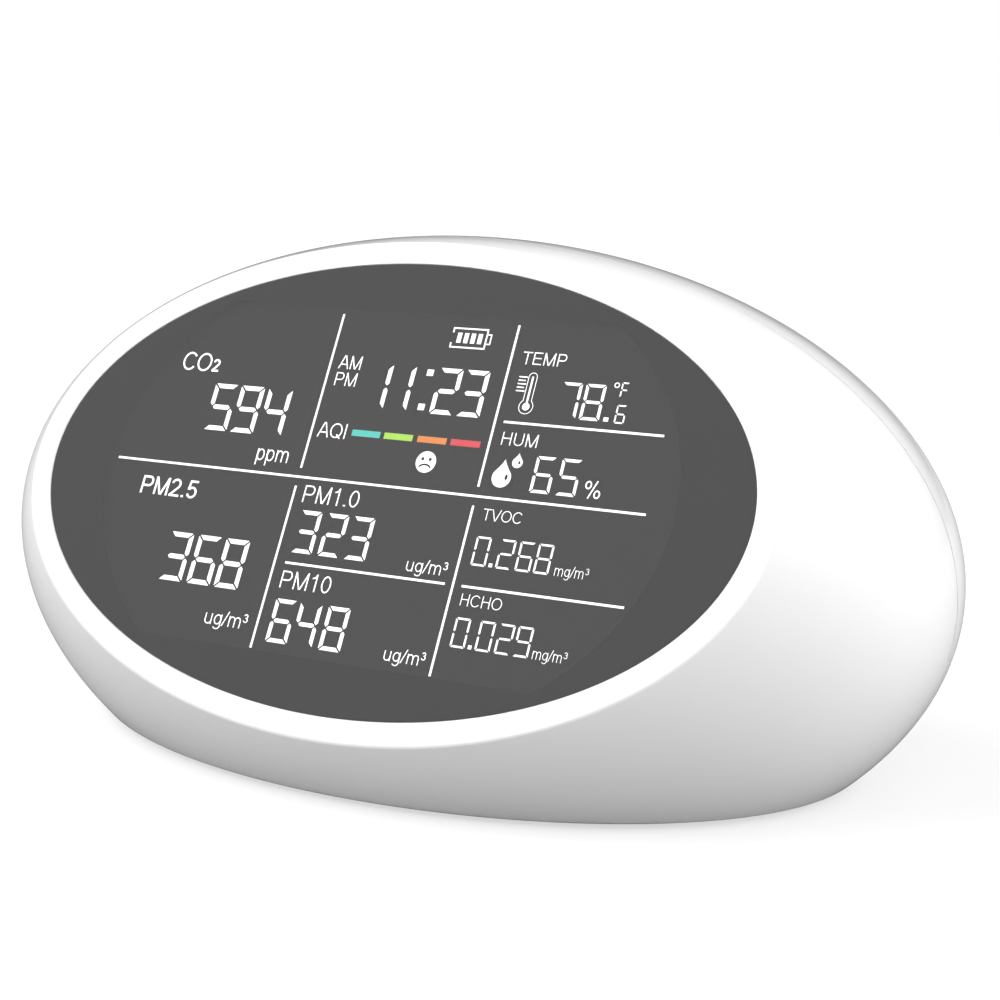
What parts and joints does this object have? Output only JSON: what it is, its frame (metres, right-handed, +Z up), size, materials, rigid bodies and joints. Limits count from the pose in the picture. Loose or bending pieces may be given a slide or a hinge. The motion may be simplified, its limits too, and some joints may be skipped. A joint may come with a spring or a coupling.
{
  "type": "air quality monitor",
  "caption": "Desktop air quality monitor: a white pebble-shaped case with a tilted oval display window, vents, keys and a charging socket at the back, and rubber feet.",
  "frame": {"origin": "on the table, under the middle of the object's bounding box", "axes": "+Z up, the display faces -Y, +X along the long side, to the right of a person who faces the display"},
  "size_m": [0.18, 0.1066, 0.0884],
  "materials": {
    "white_plastic": "satin moulded",
    "key_plastic": "fine matt",
    "smoked_acrylic": "clear, tinted grey, satin anti-glare face",
    "display_glass": "dark negative display",
    "diffuser": "milky",
    "inner_plastic": "moulded",
    "black_plastic": "moulded",
    "foam": "closed-cell foam",
    "rubber": "matt",
    "circuit_board": "solder mask",
    "steel": "zinc plated",
    "sheet_metal": "plain sheet",
    "gilt_metal": "gilt",
    "battery_wrap": "glossy plastic wrap",
    "red_wire": "insulated wire",
    "black_wire": "insulated wire",
    "ribbon": "polyimide film",
    "dust_mesh": "woven nylon mesh"
  },
  "bodies": {
    "case": {"adjust_switch": "black_plastic", "backlight_diffuser": "diffuser", "backlight_strip": "circuit_board", "battery_cell": "battery_wrap", "battery_cradle": "inner_plastic", "battery_lead_black": "black_wire", "battery_lead_red": "red_wire", "battery_socket": "inner_plastic", "board_screw_1": "steel", "board_screw_2": "steel", "buzzer": "black_plastic", "case_screw_1": "steel", "case_screw_2": "steel", "case_screw_3": "steel", "case_screw_4": "steel", "climate_sensor": "inner_plastic", "co2_sensor": "gilt_metal", "controller_chip": "black_plastic", "display_glass": "display_glass", "display_lens": "smoked_acrylic", "display_ribbon": "ribbon", "display_tray": "inner_plastic", "fan_shaft": "steel", "fan_stator": "black_plastic", "foot_front_left": "rubber", "foot_front_right": "rubber", "foot_rear_left": "rubber", "foot_rear_right": "rubber", "front_shell": "white_plastic", "hcho_sensor": "inner_plastic", "key_board": "circuit_board", "key_cable": "ribbon", "key_screw_1": "steel", "key_screw_2": "steel", "lens_gasket": "foam", "main_board": "circuit_board", "particle_case": "sheet_metal", "particle_lid": "sheet_metal", "power_switch": "black_plastic", "rear_shell": "white_plastic", "ribbon_socket": "inner_plastic", "sensor_board": "circuit_board", "sensor_cable": "ribbon", "sensor_screw_1": "steel", "sensor_screw_2": "steel", "set_switch": "black_plastic", "tray_screw_1": "steel", "tray_screw_2": "steel", "tray_screw_3": "steel", "tray_screw_4": "steel", "usb_socket": "sheet_metal", "vent_mesh": "dust_mesh", "voc_sensor": "sheet_metal"},
    "power_key": {"power_key": "key_plastic", "power_plunger": "rubber"},
    "set_key": {"set_key": "key_plastic", "set_plunger": "rubber"},
    "adjust_key": {"adjust_key": "key_plastic", "adjust_plunger": "rubber"},
    "fan": {"fan_rotor": "black_plastic"}
  },
  "joints": [
    {"name": "power_press", "type": "slide", "parent": "case", "child": "power_key", "axis": [0, -1, 0], "range_m": [0, 0.0007], "stiffness_N_per_m": 300},
    {"name": "set_press", "type": "slide", "parent": "case", "child": "set_key", "axis": [0, -1, 0], "range_m": [0, 0.0007], "stiffness_N_per_m": 300},
    {"name": "adjust_press", "type": "slide", "parent": "case", "child": "adjust_key", "axis": [0, -1, 0], "range_m": [0, 0.0007], "stiffness_N_per_m": 300},
    {"name": "fan_spin", "type": "hinge", "parent": "case", "child": "fan", "pos_m": [0.03, 0.0223, 0.045], "axis": [0, 1, 0], "continuous": true}
  ]
}
